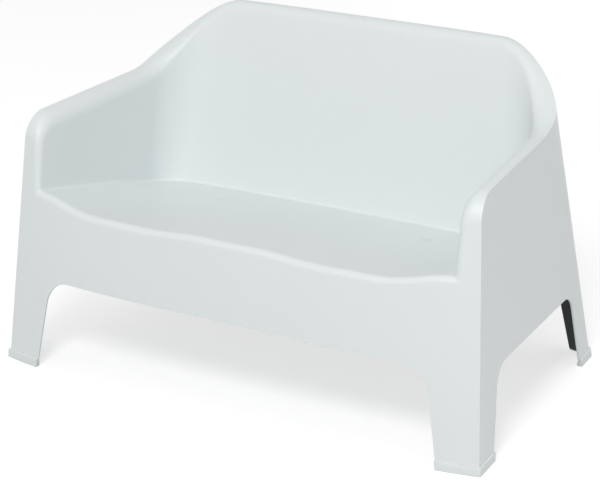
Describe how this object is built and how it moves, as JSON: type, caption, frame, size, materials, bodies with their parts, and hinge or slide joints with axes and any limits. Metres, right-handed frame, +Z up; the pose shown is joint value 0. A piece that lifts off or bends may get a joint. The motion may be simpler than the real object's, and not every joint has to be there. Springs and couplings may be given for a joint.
{
  "type": "garden bench",
  "caption": "Two-seat garden lounge bench moulded in one piece, with a hollowed seat, low arms, a high rounded back, and clip-on feet.",
  "frame": {"origin": "middle of the footprint, on the floor", "axes": "+Z up, the sitter faces -Y, +X is to the right as seen from the front"},
  "size_m": [1.3808, 0.842, 0.8539],
  "materials": {
    "shell_white": "satin, finely grained moulded polypropylene",
    "foot_white": "satin moulded polypropylene, slightly softer sheen than the shell",
    "pad_dark": "matt anthracite rubber"
  },
  "bodies": {
    "root": {"moulded_shell": "shell_white", "foot_front_left": "foot_white", "foot_front_right": "foot_white", "foot_rear_left": "foot_white", "foot_rear_right": "foot_white", "rear_leg_pad_left": "pad_dark", "rear_leg_pad_right": "pad_dark"}
  },
  "joints": []
}
